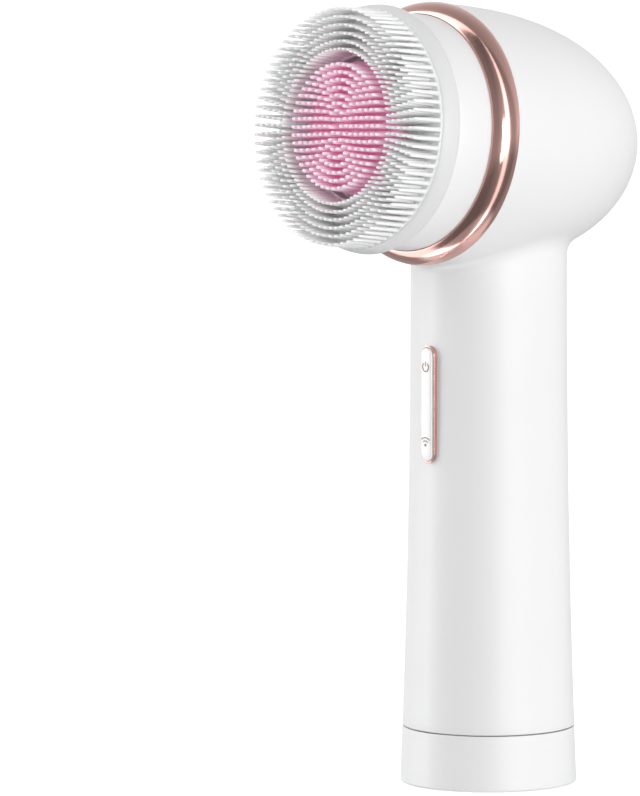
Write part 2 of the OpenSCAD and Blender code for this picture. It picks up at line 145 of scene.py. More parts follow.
def rounded(corners, steps=6):
    """Outline through (x, y, fillet radius) corners, closed, with arcs at the corners."""
    outline = []
    count = len(corners)
    for i, (x, y, fillet) in enumerate(corners):
        here = np.array((x, y))
        before = np.array(corners[i - 1][:2]) - here
        after = np.array(corners[(i + 1) % count][:2]) - here
        if fillet <= 0:
            outline.append((x, y))
            continue
        before_len, after_len = np.linalg.norm(before), np.linalg.norm(after)
        before, after = before / before_len, after / after_len
        half = math.acos(np.clip(before @ after, -1, 1)) / 2
        cut = min(fillet / math.tan(half), 0.49 * before_len, 0.49 * after_len)
        radius = cut * math.tan(half)
        centre = here + (before + after) / np.linalg.norm(before + after) * radius / math.sin(half)
        first, last = here + before * cut - centre, here + after * cut - centre
        sweep = math.pi - 2 * half
        turn = math.copysign(1, first[0] * last[1] - first[1] * last[0])
        for k in range(steps + 1):
            a = turn * sweep * k / steps
            outline.append((
                centre[0] + first[0] * math.cos(a) - first[1] * math.sin(a),
                centre[1] + first[0] * math.sin(a) + first[1] * math.cos(a),
            ))
    return outline


def lathe(name, outline, place=None, columns=ROUND):
    """Turns a closed (radius, height) outline round local Z. Points on the axis become poles."""
    outline = np.array(outline)
    angles = np.arange(columns) * 2 * math.pi / columns
    points, rings = [], []
    for radius, height in outline:
        if radius < 1e-7:
            rings.append([len(points)] * columns)
            points.append((0, 0, height))
        else:
            rings.append(list(range(len(points), len(points) + columns)))
            points += [(radius * math.cos(a), radius * math.sin(a), height) for a in angles]
    faces = []
    for i, ring in enumerate(rings):
        following = rings[(i + 1) % len(rings)]
        for j in range(columns):
            k = (j + 1) % columns
            face = list(dict.fromkeys((ring[j], ring[k], following[k], following[j])))
            if len(face) > 2:
                faces.append(face)
    obj = mesh_object(name, points, faces)
    if place is not None:
        obj.data.transform(place)
    outward(obj)
    return even_normals(obj)


def crisp(obj, degrees=40):
    """Marks the edges that turn more than an angle as sharp."""
    work = bmesh.new()
    work.from_mesh(obj.data)
    for edge in work.edges:
        if edge.is_manifold and edge.calc_face_angle() > math.radians(degrees):
            edge.smooth = False
    work.to_mesh(obj.data)
    work.free()
    return obj


def boolean(obj, tool, operation):
    """Joins or cuts with a tool, keeps only the result and removes the tool."""
    change = obj.modifiers.new("change", "BOOLEAN")
    change.object = tool
    change.operation = operation
    change.solver = "EXACT"
    bpy.context.view_layer.update()
    result = bpy.data.meshes.new_from_object(obj.evaluated_get(bpy.context.evaluated_depsgraph_get()))
    obj.modifiers.clear()
    obj.data = result
    bpy.data.objects.remove(tool)
    return crisp(obj)


def hex_bore(obj, bore, corner):
    """Turns a round bore, drawn on local Z, into a hexagon, then places the piece on the head."""
    flat = corner * math.cos(math.radians(30))
    for point in obj.data.vertices:
        radius = math.hypot(point.co.x, point.co.y)
        if 0 < radius < bore + 0.01 * MM:
            from_flat = math.degrees(math.atan2(point.co.y, point.co.x)) % 60 - 30
            wanted = flat / math.cos(math.radians(from_flat))
            point.co.x *= wanted / radius
            point.co.y *= wanted / radius
    crisp(obj)
    obj.data.transform(HEAD)
    return obj


def outward(obj):
    """Turns every face's normal outward."""
    work = bmesh.new()
    work.from_mesh(obj.data)
    bmesh.ops.recalc_face_normals(work, faces=work.faces)
    work.to_mesh(obj.data)
    work.free()


def curve_points(start, lean_in, lean_out, end, steps=14):
    """Points of a cubic Bezier stretch, both ends included."""
    start, lean_in, lean_out, end = map(np.array, (start, lean_in, lean_out, end))
    points = []
    for t in np.linspace(0, 1, steps + 1):
        back = 1 - t
        near = back ** 3 * start + 3 * back ** 2 * t * lean_in
        points.append(tuple(near + 3 * back * t ** 2 * lean_out + t ** 3 * end))
    return points


def stadium(half_width, half_length, arc_steps=16):
    """Points of a bar with round ends, upright, anticlockwise."""
    straight = half_length - half_width
    points = []
    for side, first in ((1, 0.0), (-1, math.pi)):
        for k in range(arc_steps + 1):
            a = first + math.pi * k / arc_steps
            points.append((half_width * math.cos(a), side * straight + half_width * math.sin(a)))
    return points


# Local Y becomes up and local Z becomes forward
FRONT = Matrix(((1, 0, 0, 0), (0, 0, -1, 0), (0, 1, 0, 0), (0, 0, 0, 1)))


def on_front(obj, middle_z):
    """Turns a piece drawn in X and Y, with Z outward, onto the handle's front."""
    obj.data.transform(Matrix.Translation((0, 0, middle_z)) @ FRONT)
    return obj


def swept_bar(name, half_width, half_length, outline, middle_z, arc_steps=16):
    """Sweeps (outward offset, depth) points round a bar's outline, and caps the ends of an open sweep."""
    rings = [
        [(x, y, depth) for x, y in stadium(half_width + grow, half_length + grow, arc_steps)]
        for grow, depth in outline
    ]
    columns = len(rings[0])
    points = [p for ring in rings for p in ring]
    faces = []
    for i in range(len(rings) - 1):
        for j in range(columns):
            k = (j + 1) % columns
            faces.append((i * columns + j, i * columns + k, (i + 1) * columns + k, (i + 1) * columns + j))
    closed = outline[0] == outline[-1]
    if not closed:
        faces.append(range(columns))
        faces.append(range((len(rings) - 1) * columns, len(rings) * columns))
    obj = mesh_object(name, points, faces)
    if closed:
        work = bmesh.new()
        work.from_mesh(obj.data)
        bmesh.ops.remove_doubles(work, verts=work.verts, dist=1e-7)
        work.to_mesh(obj.data)
        work.free()
    on_front(obj, middle_z)
    outward(obj)
    return even_normals(obj)


# ---------------------------------------------------------------- materials

def new_material(name, **fixed):
    """A Principled material with the given sockets fixed, and its node tree's parts."""
    material = bpy.data.materials.new(name)
    material.use_nodes = True
    tree = material.node_tree
    shader = tree.nodes["Principled BSDF"]
    for socket, value in fixed.items():
        shader.inputs[socket.replace("_", " ")].default_value = value
    return material, tree, shader


def place_texture(tree, stretch=(1, 1, 1)):
    """Object coordinates in metres, stretched per axis."""
    place = tree.nodes.new("ShaderNodeTexCoord")
    mapping = tree.nodes.new("ShaderNodeMapping")
    mapping.inputs["Scale"].default_value = stretch
    tree.links.new(place.outputs["Object"], mapping.inputs["Vector"])
    return mapping.outputs["Vector"]


def noise(tree, where, scale, detail=3.0, roughness=0.5):
    """A noise value. The scale is about the number of features to a metre."""
    node = tree.nodes.new("ShaderNodeTexNoise")
    node.inputs["Scale"].default_value = scale
    node.inputs["Detail"].default_value = detail
    node.inputs["Roughness"].default_value = roughness
    tree.links.new(where, node.inputs["Vector"])
    return node.outputs["Fac"]


def ramp(tree, value, stops):
    """Maps a value to colours, from stops of (position, colour)."""
    node = tree.nodes.new("ShaderNodeValToRGB")
    band = node.color_ramp
    while len(band.elements) < len(stops):
        band.elements.new(0.5)
    for element, (position, colour) in zip(band.elements, stops):
        element.position = position
        element.color = (*colour, 1)
    tree.links.new(value, node.inputs["Fac"])
    return node.outputs["Color"]


def spread(tree, value, low, high, least=0.3, most=0.7):
    """Maps a value's range, a noise value's usual one if none is given, to low..high."""
    node = tree.nodes.new("ShaderNodeMapRange")
    node.inputs["From Min"].default_value = least
    node.inputs["From Max"].default_value = most
    node.inputs["To Min"].default_value = low
    node.inputs["To Max"].default_value = high
    tree.links.new(value, node.inputs["Value"])
    return node.outputs["Result"]


def bump(tree, shader, height, distance, under=None):
    """Adds relief of a height in metres, on top of another bump if one is given."""
    node = tree.nodes.new("ShaderNodeBump")
    node.inputs["Distance"].default_value = distance
    tree.links.new(height, node.inputs["Height"])
    if under is not None:
        tree.links.new(under, node.inputs["Normal"])
    tree.links.new(node.outputs["Normal"], shader.inputs["Normal"])
    return node.outputs["Normal"]


def shade(colour, factor):
    return tuple(min(1.0, c * factor) for c in colour)


def moulded(name, colour, rough, rough_play, grain, vary=0.03, peel=0.004, **fixed):
    """Moulded plastic or rubber: faint colour drift, uneven gloss, a soft flow wave and a fine grain.

    The peel and the grain are the heights of the wave and of the grain, in mm.
    """
    material, tree, shader = new_material(name, **fixed)
    where = place_texture(tree)
    drift = noise(tree, where, 45, 2)
    tone = ramp(tree, drift, [(0.3, shade(colour, 1 - vary)), (0.7, shade(colour, 1 + vary))])
    tree.links.new(tone, shader.inputs["Base Color"])
    gloss = noise(tree, where, 160, 4)
    tree.links.new(spread(tree, gloss, rough - rough_play, rough + rough_play), shader.inputs["Roughness"])
    wave = bump(tree, shader, noise(tree, where, 120, 2), peel * MM)
    bump(tree, shader, noise(tree, where, 5200, 2), grain * MM, under=wave)
    return material


def bristle_silicone(name, root, middle, tip, rough, scatter, **fixed):
    """Silicone with a soft flow grain, and painted light along each bristle: deeper at the root as painted shade,
    paler at the tip as a painted highlight.

    The scatter is the distance that red, green and blue light travel in the silicone, in mm.
    """
    material, tree, shader = new_material(name, **fixed)
    shader.inputs["Subsurface Radius"].default_value = scatter
    shader.inputs["Subsurface Scale"].default_value = MM
    height = tree.nodes.new("ShaderNodeAttribute")
    height.attribute_name = "height"
    where = place_texture(tree)
    wobble = tree.nodes.new("ShaderNodeMath")
    wobble.operation = "MULTIPLY_ADD"
    wobble.inputs[1].default_value = 0.16    # how far the noise shifts the colours along a bristle
    tree.links.new(noise(tree, where, 700, 2), wobble.inputs[0])
    tree.links.new(height.outputs["Fac"], wobble.inputs[2])
    # Root to tip: painted shade at the root, a painted highlight at the tip
    tone = ramp(tree, wobble.outputs[0], [(0.08, root), (0.62, middle), (1.0, tip)])
    tree.links.new(tone, shader.inputs["Base Color"])
    gloss = noise(tree, where, 900, 3)
    tree.links.new(spread(tree, gloss, rough - 0.05, rough + 0.05), shader.inputs["Roughness"])
    bump(tree, shader, noise(tree, where, 4200, 3), 0.008 * MM)
    return material


def plated(name, colour, rough):
    """Polished plating on plastic: mirror-like, a faint flow wave and hair-fine wiping marks."""
    material, tree, shader = new_material(name, Metallic=1.0)
    where = place_texture(tree)
    tone = ramp(tree, noise(tree, where, 60, 2), [(0.3, shade(colour, 0.96)), (0.7, shade(colour, 1.04))])
    tree.links.new(tone, shader.inputs["Base Color"])
    marks = noise(tree, place_texture(tree, (1, 1, 0.12)), 2600, 3, 0.6)
    tree.links.new(spread(tree, marks, rough * 0.75, rough * 1.35), shader.inputs["Roughness"])
    wave = bump(tree, shader, noise(tree, where, 150, 2), 0.002 * MM)
    bump(tree, shader, marks, 0.0006 * MM, under=wave)
    return material


def turned_metal(name, colour, rough):
    """Machined metal: fine level tool lines and uneven gloss."""
    material, tree, shader = new_material(name, Metallic=1.0)
    lines = noise(tree, place_texture(tree, (1, 1, 14)), 1400, 4, 0.6)
    tone = ramp(tree, lines, [(0.3, shade(colour, 0.88)), (0.7, shade(colour, 1.08))])
    tree.links.new(tone, shader.inputs["Base Color"])
    tree.links.new(spread(tree, lines, rough - 0.08, rough + 0.1), shader.inputs["Roughness"])
    bump(tree, shader, lines, 0.004 * MM)
    return material


def wound_copper(name, colour, scale):
    """Enamelled wire wound in rings about the handle's axis. A larger scale is a finer winding."""
    material, tree, shader = new_material(name, Metallic=0.9, Roughness=0.35, Coat_Weight=0.6)
    rings = tree.nodes.new("ShaderNodeTexWave")
    rings.wave_type = "RINGS"
    rings.rings_direction = "Z"
    rings.inputs["Scale"].default_value = scale
    rings.inputs["Distortion"].default_value = 0.4
    tree.links.new(place_texture(tree), rings.inputs["Vector"])
    tone = ramp(tree, rings.outputs["Fac"], [(0.0, shade(colour, 0.3)), (0.6, colour)])
    tree.links.new(tone, shader.inputs["Base Color"])
    bump(tree, shader, rings.outputs["Fac"], 0.06 * MM)
    return material


def solder_mask(name, colour, copper_tint):
    """Green lacquer over copper tracks, which show as a slightly raised paler pattern."""
    material, tree, shader = new_material(name, Coat_Weight=0.5)
    tracks = tree.nodes.new("ShaderNodeTexBrick")
    tracks.inputs["Scale"].default_value = 160
    tracks.inputs["Mortar Size"].default_value = 0.035
    tracks.inputs["Color1"].default_value = (*colour, 1)
    tracks.inputs["Color2"].default_value = (*shade(colour, 0.8), 1)
    tracks.inputs["Mortar"].default_value = (*copper_tint, 1)
    tree.links.new(place_texture(tree, (1, 0, 1)), tracks.inputs["Vector"])
    tree.links.new(tracks.outputs["Color"], shader.inputs["Base Color"])
    gloss = noise(tree, place_texture(tree), 700)
    tree.links.new(spread(tree, gloss, 0.3, 0.45), shader.inputs["Roughness"])
    bump(tree, shader, tracks.outputs["Fac"], 0.03 * MM)
    return material


WHITE = (0.84, 0.84, 0.845)
MATERIALS = {
    "casing": moulded("casing_white", WHITE, 0.42, 0.03, 0.0005, 0.006, 0.002),
    # The head's white is darker than the casing's white: painted shade for the brush disc's side, which gets less
    # light
    "head_plastic": moulded("head_white_painted_shade", (0.74, 0.74, 0.747), 0.45, 0.03, 0.0006, 0.006, 0.002),
    "button_face": moulded("button_gloss", (0.88, 0.87, 0.865), 0.16, 0.03, 0.0006, 0.008, 0.003,
                           Coat_Weight=0.7, Coat_Roughness=0.05),
    "rose_gold": plated("rose_gold_plating", (0.66, 0.4, 0.36), 0.14),
    "mark": moulded("printed_mark", (0.27, 0.15, 0.12), 0.35, 0.08, 0.002, 0.08),
    # Root, middle and tip colours of the white bristles: the darker root is painted shade, the whiter tip a
    # painted highlight
    "white_silicone": bristle_silicone("white_silicone", (0.86, 0.86, 0.862), (0.93, 0.93, 0.93),
                                       (0.98, 0.98, 0.98), 0.38, (0.8, 0.55, 0.55), Subsurface_Weight=0.2,
                                       Sheen_Weight=0.1, Coat_Weight=0.1),
    # The faint emission is a painted glow, standing for the light that pale silicone carries from bristle to
    # bristle; the deeper root and paler tip colours are painted shade and a painted highlight
    "pink_silicone": bristle_silicone("pink_silicone", (1.0, 0.48, 0.7), (1.0, 0.7, 0.84),
                                      (1.0, 0.9, 0.95), 0.36, (0.9, 0.55, 0.55), Subsurface_Weight=0.15,
                                      Sheen_Weight=0.1, Coat_Weight=0.15, Emission_Strength=0.05,
                                      Emission_Color=(1, 0.12, 0.5, 1)),
    "pink_plastic": moulded("hub_plastic", (0.82, 0.36, 0.5), 0.4, 0.05, 0.002, 0.03),
    "seal_rubber": moulded("seal_rubber", (0.02, 0.02, 0.022), 0.6, 0.08, 0.01, 0.1),
    "clear_silicone": moulded("membrane_silicone", (0.62, 0.62, 0.64), 0.45, 0.05, 0.003, 0.03,
                              Subsurface_Weight=0.3, Subsurface_Scale=MM),
    "steel": turned_metal("turned_steel", (0.6, 0.61, 0.63), 0.3),
    "bronze": turned_metal("sintered_bronze", (0.5, 0.31, 0.14), 0.45),
    "gear_plastic": moulded("natural_acetal", (0.74, 0.71, 0.63), 0.42, 0.05, 0.003, 0.03,
                            Subsurface_Weight=0.1, Subsurface_Scale=0.6 * MM),
    "frame_plastic": moulded("dark_frame_plastic", (0.045, 0.048, 0.055), 0.5, 0.07, 0.006, 0.1),
    "magnet": moulded("sintered_ferrite", (0.025, 0.025, 0.028), 0.65, 0.1, 0.02, 0.15),
    "copper": wound_copper("wound_copper", (0.62, 0.27, 0.12), 125),
    "wire": moulded("wire_insulation", (0.02, 0.02, 0.02), 0.45, 0.06, 0.003, 0.08),
    "board": solder_mask("solder_mask", (0.01, 0.12, 0.05), (0.06, 0.26, 0.1)),
    "cell": moulded("cell_sleeve", (0.02, 0.08, 0.28), 0.28, 0.06, 0.004, 0.05, Coat_Weight=0.4),
}


def finish(obj, slot, body, *replaced):
    """Gives a piece its slot's material, puts it on the body it rides on and hides the CAD nodes it stands for."""
    obj.data.materials.clear()
    obj.data.materials.append(MATERIALS[slot])
    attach(obj, body)
    if replaced:
        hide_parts(*replaced)
    return obj


# ---------------------------------------------------------------- casing

def smooth_least(a, b, width):
    """The lesser of two values, blended over a width."""
    mix = np.clip(0.5 + 0.5 * (b - a) / width, 0, 1)
    return b + (a - b) * mix - width * mix * (1 - mix)


def handle_radius(z):
    """The handle's outer radius at a height: even at the waist, flared towards the foot."""
    base = BASE_R - WAIST_R
    return WAIST_R + base * np.clip(1 - z / TAPER_TOP, 0, None) ** 2


def casing_field(points):
    """Negative inside the casing's outer surface: the egg and the handle, blended at the neck."""
    local = points @ TO_HEAD[:3, :3].T + TO_HEAD[:3, 3]
    radial = np.hypot(local[..., 0], local[..., 1]) / EGG_R
    lengthwise = (RIM_S - local[..., 2]) / EGG_LEN
    lengthwise = np.clip(lengthwise, 0, None) ** EGG_FULLNESS
    egg = (np.sqrt(radial ** 2 + lengthwise) - 1) * EGG_R
    handle = np.hypot(points[..., 0], points[..., 1]) - handle_radius(points[..., 2])
    handle = np.maximum(handle, points[..., 2] - NECK_TOP)
    return smooth_least(egg, handle, NECK_BLEND)


def cross_rings(centres, outs, columns):
    """Rings where planes through the centres, spanned by X and outs, cut the casing's surface."""
    reach, halvings = 75 * MM, 40
    turn = np.arange(columns) * 2 * math.pi / columns
    rays = (
        np.cos(turn)[None, :, None] * outs[:, None, :]
        + np.sin(turn)[None, :, None] * np.array(X)[None, None, :]
    )
    near = np.zeros(rays.shape[:2])
    far = np.full(rays.shape[:2], reach)
    for _ in range(halvings):
        middle = (near + far) / 2
        inside = casing_field(centres[:, None, :] + rays * middle[..., None]) < 0
        near = np.where(inside, middle, near)
        far = np.where(inside, far, middle)
    return centres[:, None, :] + rays * far[..., None]


def upright_rays(angles):
    """Directions in the object's middle plane, at angles up from +Y."""
    return np.stack([np.zeros_like(angles), np.cos(angles), np.sin(angles)], -1)


def inside_span(pivot, out):
    """Nearest and farthest distance from the pivot at which a ray is inside the casing."""
    steps = np.linspace(0, 95 * MM, 1900)
    inside = steps[casing_field(pivot + steps[:, None] * out) < 0]
    return inside.min(), inside.max()


def even_angles(pivot, first, last, spacing):
    """Angles whose rays from the pivot meet the casing's back at even spacing."""
    angles = np.linspace(first, last, 700)
    backs = [pivot + out * inside_span(pivot, out)[1] for out in upright_rays(angles)]
    gaps = np.linalg.norm(np.diff(np.array(backs), axis=0), axis=1)
    travel = np.concatenate([[0], np.cumsum(gaps)])
    count = int(round(travel[-1] / spacing))
    return np.interp(np.linspace(0, travel[-1], count + 1), travel, angles)


def seam_rounding(ring):
    """Rings that round the casing's lower edge, from the seam up to the first level ring."""
    rings = []
    for a in np.linspace(0, math.pi / 2, 5)[:-1]:
        level = SEAM_Z + SEAM_LIP * (1 - math.sin(a))
        inset = SEAM_LIP * (1 - math.cos(a))
        rings.append(ring * (1, 1, 0) * (1 - inset / WAIST_R) + (0, 0, level))
    return rings[::-1]


def rim_rounding(ring, centre, forward):
    """Rings that turn the head's open edge in, under the trim ring."""
    rings = []
    for a in np.linspace(0, math.pi / 2, 5)[1:]:
        inset = SEAM_LIP * (1 - math.cos(a))
        drawn = (ring - centre) * (1 - inset / EGG_R)
        rings.append(centre + drawn + forward * SEAM_LIP * (math.sin(a) - 1))
    return rings


def casing():
    """One grid of rings, level up the handle and then fanned round the elbow to the head's rim."""
    columns, levels_up = 176, 52
    elbow_z = 110 * MM
    ring_gap = 1.25 * MM
    forward = np.array(HEAD.col[2][:3])
    rim_centre = np.array(HEAD.col[3][:3]) + forward * RIM_S
    # The fan's pivot lies where the rim's plane meets the first level of the elbow
    pivot = np.array((0, rim_centre[1] - (elbow_z - rim_centre[2]) * forward[2] / forward[1], elbow_z))
    levels = np.linspace(SEAM_Z + SEAM_LIP, elbow_z, levels_up)[:-1]
    centres = np.stack([np.zeros_like(levels), np.zeros_like(levels), levels], -1)
    level_rings = cross_rings(centres, np.tile(np.array(Y), (len(levels), 1)), columns)
    rim_angle = math.atan2(HEAD.col[1][2], HEAD.col[1][1])
    angles = even_angles(pivot, 0, rim_angle, ring_gap)
    angles[-1] = rim_angle - 2e-4        # a hair short of the rim, where the surface still goes all round
    outs = upright_rays(angles)
    middles = np.array([pivot + out * sum(inside_span(pivot, out)) / 2 for out in outs])
    fan_rings = cross_rings(middles, outs, columns)
    rings = np.concatenate([
        np.array(seam_rounding(level_rings[0])),
        level_rings,
        fan_rings[:-1],
        np.array(rim_rounding(fan_rings[-1], rim_centre, forward)),
    ])
    faces = [
        (i * columns + j, i * columns + (j + 1) % columns,
         (i + 1) * columns + (j + 1) % columns, (i + 1) * columns + j)
        for i in range(len(rings) - 1) for j in range(columns)
    ]
    obj = mesh_object("main_casing", rings.reshape(-1, 3), faces)
    outward(obj)
    walls = obj.modifiers.new("wall", "SOLIDIFY")
    walls.thickness = SHELL_T
    walls.offset = -1
    cut_button_slot(obj)
    return finish(obj, "casing", BODY, "main_shell")


def cut_button_slot(obj):
    """Cuts the slot that the button's frame sits in, and keeps only the result."""
    overlap = 0.12 * MM
    half_width, half_length = BUTTON_W / 2 - overlap, BUTTON_L / 2 - overlap
    through = [(0, 14 * MM), (0, 24 * MM)]
    # An odd count of steps keeps the cutter's points off the casing's own middle line
    cutter = swept_bar("slot_cutter", half_width, half_length, through, button_middle(), 17)
    cutter.modifiers.clear()
    boolean(obj, cutter, "DIFFERENCE")


def base_cap():
    """The cap under the seam: a grooved spigot inside the casing, and three posts for the chassis."""
    gap = 0.25 * MM
    top = SEAM_Z - gap
    spigot, bore, groove_r = 18.1 * MM, 16.4 * MM, 17.0 * MM
    groove = (16.2 * MM, 17.8 * MM)
    spigot_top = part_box("base_cap")[1].z
    ledge, floor_top = 20 * MM, 2.5 * MM
    foot_fillet, side_foot = 1.0 * MM, 1.3 * MM
    side = [(handle_radius(z), z) for z in np.linspace(side_foot, top - SEAM_LIP, 8)]
    foot = rounded([(0, 0, 0), (handle_radius(0), 0, foot_fillet), (*side[0], 0)])[:-1]
    shoulder = rounded([(*side[-2], 0), (handle_radius(top), top, SEAM_LIP), (spigot, top, 0)])[1:]
    inside = [
        (spigot, groove[0]), (groove_r, groove[0]), (groove_r, groove[1]), (spigot, groove[1]),
        (spigot, ledge), (bore, ledge), (bore, floor_top), (0, floor_top),
    ]
    cap = lathe("base_cap_shell", foot + side[:-1] + shoulder + inside)
    cap.modifiers.clear()
    post_r, post_ring, post_foot = 1.6 * MM, 14.2 * MM, floor_top - 0.5 * MM
    post = [(0, post_foot), (post_r, post_foot), (post_r, spigot_top), (0, spigot_top)]
    for angle in (90, 210, 330):
        a = math.radians(angle)
        # A small turn keeps the post's points off the edges of the cap's floor
        place = Matrix.Translation((post_ring * math.cos(a), post_ring * math.sin(a), 0))
        place = place @ Matrix.Rotation(math.radians(4.3), 4, "Z")
        tool = lathe("post", post, place, 32)
        tool.modifiers.clear()
        boolean(cap, tool, "UNION")
    even_normals(cap)
    return finish(cap, "casing", BODY, "base_cap")


# ---------------------------------------------------------------- head

def trim_ring():
    """Rose-gold ring: a short lateral band that rolls over into a forward-facing face."""
    back, front, radius, bore = along_head("trim_ring")
    seat = RIM_S + 0.02 * MM
    skirt, rim_in = bore + 0.45 * MM, EGG_R - 0.3 * MM
    corner = rounded([
        (rim_in, seat, 0), (EGG_R + 0.02 * MM, seat, 0.1 * MM), (radius, seat + 0.7 * MM, 0),
    ])
    outline = (
        [(bore, back), (skirt, back), (skirt, seat), (rim_in, seat)]
        + corner[1:-1]
        + curve_points((radius, seat + 0.75 * MM), (radius + 0.06 * MM, seat + 3.1 * MM),
                       (radius - 0.9 * MM, front - 0.9 * MM), (bore + 0.25 * MM, front))
        + [(bore + 0.08 * MM, front - 0.03 * MM), (bore, front - 0.15 * MM)]
    )
    return finish(lathe("rose_ring", outline, HEAD, 256), "rose_gold", BODY, "trim_ring")


def collar():
    """White cone between ring and brush disc, with the boss behind its nose that holds the bearing."""
    back, front, radius, _ = along_head("front_collar")
    ring_front = along_head("trim_ring")[1]
    boss_back, _, bearing_r, _ = along_head("outer_bearing")
    boss_r = bearing_r + 2 * MM
    shaft = 6.6 * MM
    seat = front - 2.1 * MM
    nose, skirt = radius - 1.2 * MM, radius - 2.25 * MM
    recess = front - 0.5 * MM
    side = curve_points((radius, ring_front + 2 * MM), (radius - 0.05 * MM, ring_front + 6.5 * MM),
                        (nose + 0.4 * MM, front - 2 * MM), (nose, front - 0.6 * MM))
    outline = rounded([
        (radius, back, 0.3 * MM),
        *[(x, y, 0) for x, y in side],
        (nose - 0.15 * MM, front, 0.5 * MM),
        (radius - 7 * MM, front, 0.4 * MM),
        (radius - 7.6 * MM, recess, 0.4 * MM),
        (11 * MM, recess, 0.4 * MM),
        (10.4 * MM, front, 0.4 * MM),
        (shaft, front, 0.3 * MM),
        (shaft, seat, 0),
        (bearing_r, seat, 0),
        (bearing_r, boss_back, 0),
        (boss_r, boss_back, 0.2 * MM),
        (boss_r, seat, 0.3 * MM),
        (radius - 3.6 * MM, seat, 1 * MM),
        (skirt, ring_front, 1 * MM),
        (skirt, back, 0.3 * MM),
    ])
    return finish(crisp(lathe("nose_collar", outline, HEAD)), "casing", BODY, "front_collar")


def brush_disc():
    """Outer disc of the brush head: a drafted rim and a web that takes the outer drive's hexagon."""
    back, front, radius, _ = along_head("outer_carrier")
    pad_r, hole = along_head("outer_bristles")[2:]
    web = along_head("hub_carrier")[0] + 0.6 * MM
    socket, socket_corner = 6.0 * MM, 6.51 * MM
    recess = back + 0.6 * MM
    outline = rounded([
        (socket, back, 0),
        (9 * MM, back, 0.3 * MM),
        (9.5 * MM, recess, 0.3 * MM),
        (24 * MM, recess, 0.3 * MM),
        (24.6 * MM, back, 0.3 * MM),
        (radius - 0.35 * MM, back, 0.25 * MM),
        (radius, back + 0.9 * MM, 0),
    ])
    outline += curve_points((radius, back + 1.1 * MM), (radius - 0.1 * MM, back + 3.2 * MM),
                            (pad_r + 0.3 * MM, front - 0.2 * MM), (pad_r + 0.03 * MM, front))
    outline += [(hole, front), (hole, web), (socket, web)]
    disc = hex_bore(lathe("brush_disc", outline), socket, socket_corner)
    return finish(disc, "head_plastic", "outer_brush", "outer_carrier")


def hub_disc():
    """Pink plastic disc under the hub's pad, with the sleeve that takes the hub shaft's hexagon."""
    back, front, radius, _ = along_head("hub_carrier")
    disc_back, disc_front = 40.3 * MM, 41.8 * MM
    sleeve, socket, socket_corner = 4.4 * MM, 2.3 * MM, 2.51 * MM
    socket_end = along_head("hub_shaft")[1] + 0.2 * MM
    outline = rounded([
        (socket, back, 0),
        (sleeve, back, 0.3 * MM),
        (sleeve, disc_back, 0.3 * MM),
        (radius, disc_back, 0.3 * MM),
        (radius, disc_front, 0.3 * MM),
        (sleeve, disc_front, 0),
        (sleeve, front, 0.2 * MM),
        (0, front, 0),
        (0, socket_end, 0),
        (socket, socket_end, 0),
    ])
    disc = hex_bore(lathe("hub_disc", outline), socket, socket_corner)
    return finish(disc, "pink_plastic", "hub_brush", "hub_carrier")


def bristle(length, root_r, tip_r, sides=8):
    """One tapered bristle on the pad's face: flared root, straight taper, round tip. (points, faces)"""
    # (height, radius) pairs, from just under the pad's face to the tip
    shape = [(-0.35 * MM, root_r * 1.35), (0.05 * MM, root_r * 1.3), (0.22 * MM, root_r * 1.08),
             (0.55 * MM, root_r)]
    shape += [(length * t, root_r + (tip_r - root_r) * t) for t in (0.4, 0.7)]
    shape += [
        (length - tip_r + tip_r * math.sin(a), tip_r * math.cos(a))
        for a in np.linspace(0, 1.25, 4)
    ]
    points = [
        (r * math.cos(2 * math.pi * j / sides), r * math.sin(2 * math.pi * j / sides), h)
        for h, r in shape for j in range(sides)
    ]
    points += [(0, 0, length), (0, 0, shape[0][0])]
    top, bottom = len(points) - 2, len(points) - 1
    faces = [
        (i * sides + j, i * sides + (j + 1) % sides, (i + 1) * sides + (j + 1) % sides, (i + 1) * sides + j)
        for i in range(len(shape) - 1) for j in range(sides)
    ]
    last = (len(shape) - 1) * sides
    faces += [(last + j, last + (j + 1) % sides, top) for j in range(sides)]
    faces += [((j + 1) % sides, j, bottom) for j in range(sides)]
    return np.array(points), faces


def bristle_field(name, pad, rings, pad_s, length, root_r, tip_r, seed):
    """A pad and its bristles in one mesh. rings is a list of (radius, count, first angle)."""
    lean_spread, length_spread, pad_height = 0.006, 0.004, 0.12
    template, template_faces = bristle(length, root_r, tip_r)
    draw = np.random.default_rng(seed)
    points, faces, heights = [], [], []
    for radius, count, first in rings:
        for k in range(count):
            angle = first + 2 * math.pi * k / count
            lean = draw.normal(0, lean_spread, 2)
            stretch = 1 + draw.normal(0, length_spread)
            made = template * (1, 1, stretch)
            made[:, 0] += lean[0] * made[:, 2] + radius * math.cos(angle)
            made[:, 1] += lean[1] * made[:, 2] + radius * math.sin(angle)
            made[:, 2] += pad_s
            start = len(points) * len(template)
            points.append(made)
            heights.append(np.clip(template[:, 2] / length, 0, 1))
            faces += [tuple(i + start for i in face) for face in template_faces]
    points = np.concatenate(points)
    heights = np.concatenate(heights)
    pad.data.transform(HEAD.inverted())
    offset = len(points)
    points = np.concatenate([points, [v.co for v in pad.data.vertices]])
    faces += [tuple(i + offset for i in p.vertices) for p in pad.data.polygons]
    # The pad's height lies near the roots', so the pad takes their painted shade
    heights = np.concatenate([heights, np.full(len(points) - offset, pad_height)])
    bpy.data.objects.remove(pad)
    field = mesh_object(name, points, faces)
    field.data.transform(HEAD)
    store = field.data.attributes.new("height", "FLOAT", "POINT")
    store.data.foreach_set("value", heights.astype(np.float32))
    return field


